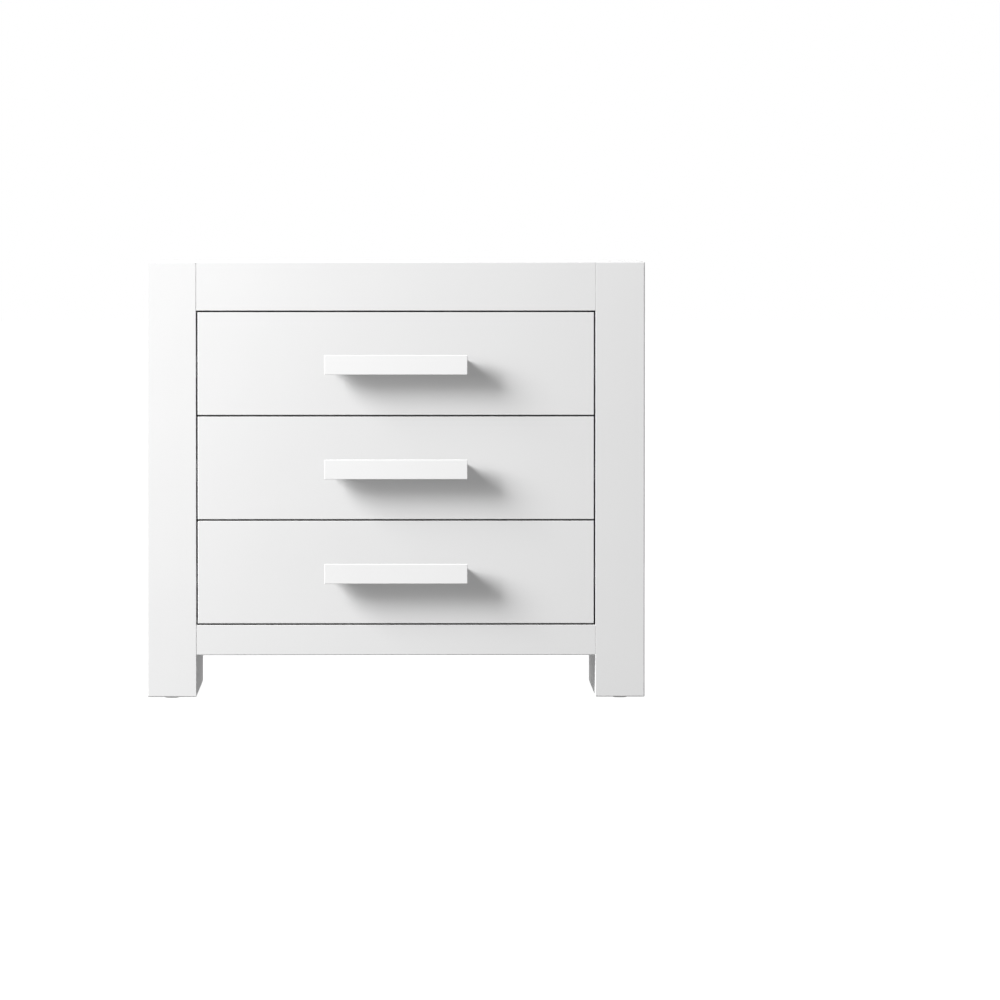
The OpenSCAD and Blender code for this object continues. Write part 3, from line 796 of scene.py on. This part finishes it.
def rounded_line(points, radius, steps=4):
    """A polyline with its inner corners rounded."""
    line = [Vector(points[0])]
    for before, corner, after in zip(points, points[1:], points[2:]):
        before, corner, after = Vector(before), Vector(corner), Vector(after)
        into, out = (corner - before).normalized(), (after - corner).normalized()
        bend = into.angle(out)
        reach = radius * math.tan(bend / 2)
        start = corner - reach * into
        inward = (out - into * into.dot(out)).normalized()
        centre = start + radius * inward
        for step in range(steps + 1):
            turn = bend * step / steps
            line.append(centre + radius * (into * math.sin(turn) - inward * math.cos(turn)))
    line.append(Vector(points[-1]))
    return line


def sheet_ring(line, thickness, y):
    """Outline, in the plane at y, of a sheet that follows line in X and Z."""
    sides = ([], [])
    for k, point in enumerate(line):
        ahead = line[min(k + 1, len(line) - 1)] - line[max(k - 1, 0)]
        across = Vector((-ahead.y, ahead.x)).normalized() * thickness / 2
        sides[0].append((point.x + across.x, y, point.y + across.y))
        sides[1].append((point.x - across.x, y, point.y - across.y))
    return sides[0] + sides[1][::-1]


def bent_sheet(bm, line, thickness, y0, y1):
    """A bent sheet along Y, with its ends slightly dressed."""
    ends = ((y0, thickness * 0.7), (y0 + 0.25, thickness), (y1 - 0.25, thickness), (y1, thickness * 0.7))
    rows = tube(bm, [sheet_ring(line, t, y) for y, t in ends])
    count = len(rows[0])
    for row in (rows[0], rows[-1]):
        for k in range(count // 2 - 1):
            bm.faces.new((row[k], row[k + 1], row[count - 2 - k], row[count - 1 - k]))


def member_line(member, side, z):
    """Centre line of a slide member seen from the front: web, flanges and lips that turn in."""
    web, lips, half = member
    inward = 1 if lips > web else -1
    w, l, h = web + inward * RAIL_T / 2, lips - inward * RAIL_T / 2, half - RAIL_T / 2
    tip = h - 1.3
    shape = [(l, tip), (l, h), (w, h), (w, -h), (l, -h), (l, -tip)]
    return rounded_line([(side * (INNER_X - across), z + up) for across, up in shape], 0.65)


def punched(mesh, side, across, z, holes):
    """The member with its holes, each (y, radius, length along the slide)."""
    cutter = bmesh.new()
    for y, radius, length in holes:
        hole = solid("hole", [oblong(radius, length / 2 + radius, radius * 0.999, h) for h in (-2.5, 2.5)])
        stamp(cutter, hole, at(side * (INNER_X - across), y, z, up=(1, 0, 0), along=(0, 0, 1)))
    return cut(mesh, mesh_of(cutter, "holes"))


def make_member(name, body, member, y0, y1, drawers, holes, node):
    """The members of one kind, left and right, for the slides of the given drawers."""
    bm = bmesh.new()
    inward = 1 if member[1] > member[0] else -1
    for side in SIDES:
        for i in drawers:
            sheet = bmesh.new()
            bent_sheet(sheet, member_line(member, side, slide_z(i)), RAIL_T, y0, y1)
            across = member[0] + inward * RAIL_T / 2
            stamp(bm, punched(mesh_of(sheet, "member"), side, across, slide_z(i), holes), Matrix())
    piece(bm, name, body, "zinc_steel", node)


def make_ball_rows(i):
    """Balls in their cages, which travel with the middle member and stay inside both neighbours."""
    ball = bmesh.new()
    bmesh.ops.create_icosphere(ball, subdivisions=2, radius=BALL_R)
    ball = mesh_of(ball, "ball")
    balls, cages = bmesh.new(), bmesh.new()
    for side in SIDES:
        for across, up, start, wide in BALL_ROWS:
            for z in (slide_z(i) - up, slide_z(i) + up):
                x = side * (INNER_X - across)
                cage = solid("cage", [oblong(CAGE_HALF, wide / 2, 0.8, face) for face in (-0.25, 0.25)])
                seats = bmesh.new()
                for k in range(BALLS_IN_ROW):
                    along = (k + 0.5) * BALL_PITCH
                    seat = solid("seat", turned([(-1, BALL_R + 0.12), (1, BALL_R + 0.12)], 16))
                    stamp(seats, seat, Matrix.Translation((along - CAGE_HALF, 0, 0)))
                    stamp(balls, ball, at(x, start + along, z))
                cage = cut(cage, mesh_of(seats, "seats"))
                stamp(cages, cage, at(x, start + CAGE_HALF, z, up=(0, 0, 1), along=(0, 1, 0)))
    body = f"drawer_{i}_slide_middle"
    piece(balls, f"drawer_{i}_slide_balls", body, "zinc_steel")
    piece(cages, f"drawer_{i}_ball_cages", body, "zinc_steel")


def make_release_levers(i):
    """The plastic levers inside the drawer's slide members that free the drawer from its middle members."""
    bm = bmesh.new()
    shape = rounded_line([(0, -4.5), (14, -4.5), (26, 4.0), (52, 4.0), (66, -2.0)], 6)
    for side in SIDES:
        lever = bmesh.new()
        bent_sheet(lever, shape, 1.8, -1.6, 1.6)
        x = side * (INNER_X - LEVER_ACROSS)
        place = at(x, LEVER_Y, slide_z(i), up=(0, 0, 1), along=(0, 1, 0))
        stamp(bm, mesh_of(lever, "lever"), place)
        rivet = solid("rivet", turned([(-2.0, 2.6), (1.6, 2.6), (2.1, 2.1)], 20))
        stamp(bm, rivet, at(x, RIVET_Y, slide_z(i) - 4.5, up=(-side, 0, 0)))
    piece(bm, f"drawer_{i}_release_levers", f"drawer_{i}", "glide_plastic")


def make_slides():
    """Every slide: its three members with their punched holes, its ball rows and its release lever."""
    screw_holes = [(y, 1.82, 0) for y in SLIDE_SCREW_Y]
    cabinet_holes = screw_holes + [(SLIDE_Y[0] + d, 2.1, 5) for d in (70, 130, 260, 330)]
    cabinet_holes += [(SLIDE_Y[0] + d, 1.6, 0) for d in (18, 155, 300, 425)]
    make_member("cabinet_slide_rails_fine", "carcass", CABINET_MEMBER, *SLIDE_Y, DRAWERS, cabinet_holes,
                "cabinet_slide_rails")
    for i in DRAWERS:
        access_holes = [(MIDDLE_Y[0] + d, 4.5, 0) for d in (33, 188)]
        access_holes += [(MIDDLE_Y[0] + d, 2.5, 9) for d in (100, 260, 350, 410)]
        make_member(f"drawer_{i}_middle_rails_fine", f"drawer_{i}_slide_middle", MIDDLE_MEMBER, *MIDDLE_Y,
                    (i,), access_holes, f"drawer_{i}_middle_rails")
        drawer_holes = screw_holes + [(SLIDE_Y[0] + d, 1.9, 4) for d in (60, 150, 330, 430)]
        make_member(f"drawer_{i}_drawer_rails_fine", f"drawer_{i}", DRAWER_MEMBER, *SLIDE_Y, (i,),
                    drawer_holes, f"drawer_{i}_drawer_rails")
        make_ball_rows(i)
        make_release_levers(i)


# ------------------------------------------------------------------------------------------------
# Boards that the CAD leaves sharp

def soften(node, width, segments=2):
    """Rounds the sharp edges of a CAD board a little."""
    obj = frame["nodes"][node]
    weld = obj.modifiers.new("weld", "WELD")
    weld.merge_threshold = 1e-6
    bevel = obj.modifiers.new("bevel", "BEVEL")
    bevel.width = width
    bevel.segments = segments
    bevel.limit_method = "ANGLE"
    bevel.angle_limit = math.radians(50)
    bevel.harden_normals = True


def soften_boards():
    for side in ("left", "right"):
        for part in ("outer_panel", "inner_panel", "core_rails"):
            soften(f"{side}_{part}", 0.3 * MM)
    for node in ("top_lower_panel", "top_rear_rail", "bottom_rear_rail", "bottom_panel", "back_panel"):
        soften(node, 0.5 * MM)
    for i in DRAWERS:
        for part in ("left_side", "right_side", "back", "bottom"):
            soften(f"drawer_{i}_{part}", 0.8 * MM)


# ------------------------------------------------------------------------------------------------
# The scene

make_camera()
make_world(fill=0.308, seen=1.0, mirrored=0.25)
make_floor()
make_lights()
make_flags()
bpy.context.scene.view_settings.view_transform = "Standard"
paint_cad_nodes()
keep_glow_off_fronts()
shade_drawer_boxes()
make_screws()
make_cam_locks()
make_dowels()
make_glides()
make_wall_plates()
make_slides()
soften_boards()
